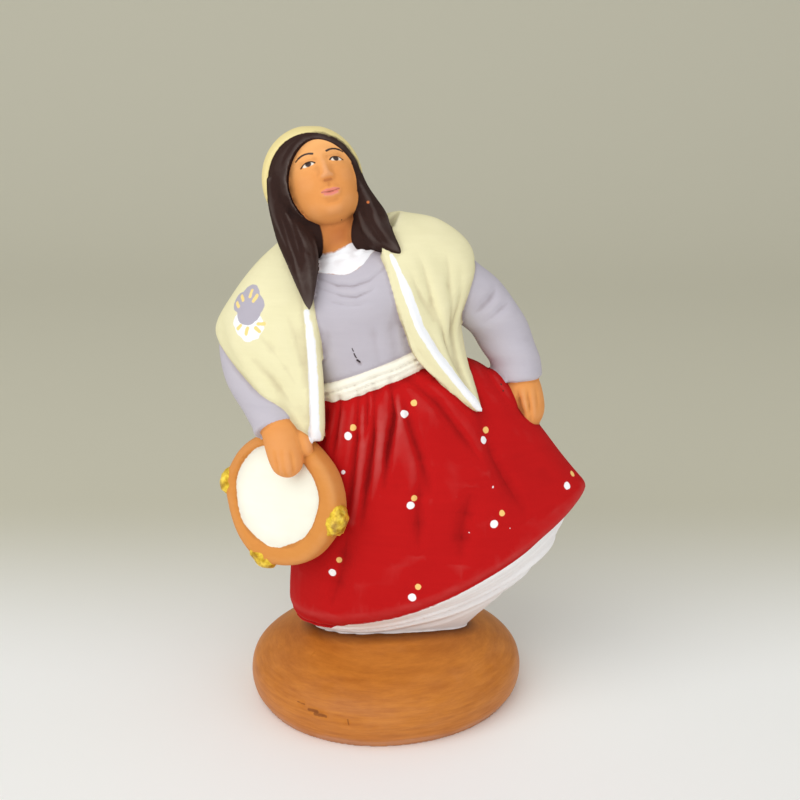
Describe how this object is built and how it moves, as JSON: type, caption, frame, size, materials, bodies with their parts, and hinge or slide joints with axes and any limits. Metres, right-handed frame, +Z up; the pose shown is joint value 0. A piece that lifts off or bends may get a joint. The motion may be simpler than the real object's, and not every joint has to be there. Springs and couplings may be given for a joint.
{
  "type": "santon figurine",
  "caption": "Small painted clay figure of a dancing woman on a round base, holding up her skirt and letting a tambourine hang.",
  "frame": {"origin": "centre of the round base, on its flat underside", "axes": "+Z up, the figure faces -Y, the lifted side of the skirt points to +X"},
  "size_m": [0.0581, 0.0435, 0.0902],
  "materials": {
    "painted_clay": "fired terracotta, hand painted in matte colours"
  },
  "bodies": {
    "root": {"santon_figure": "painted_clay"}
  },
  "joints": []
}
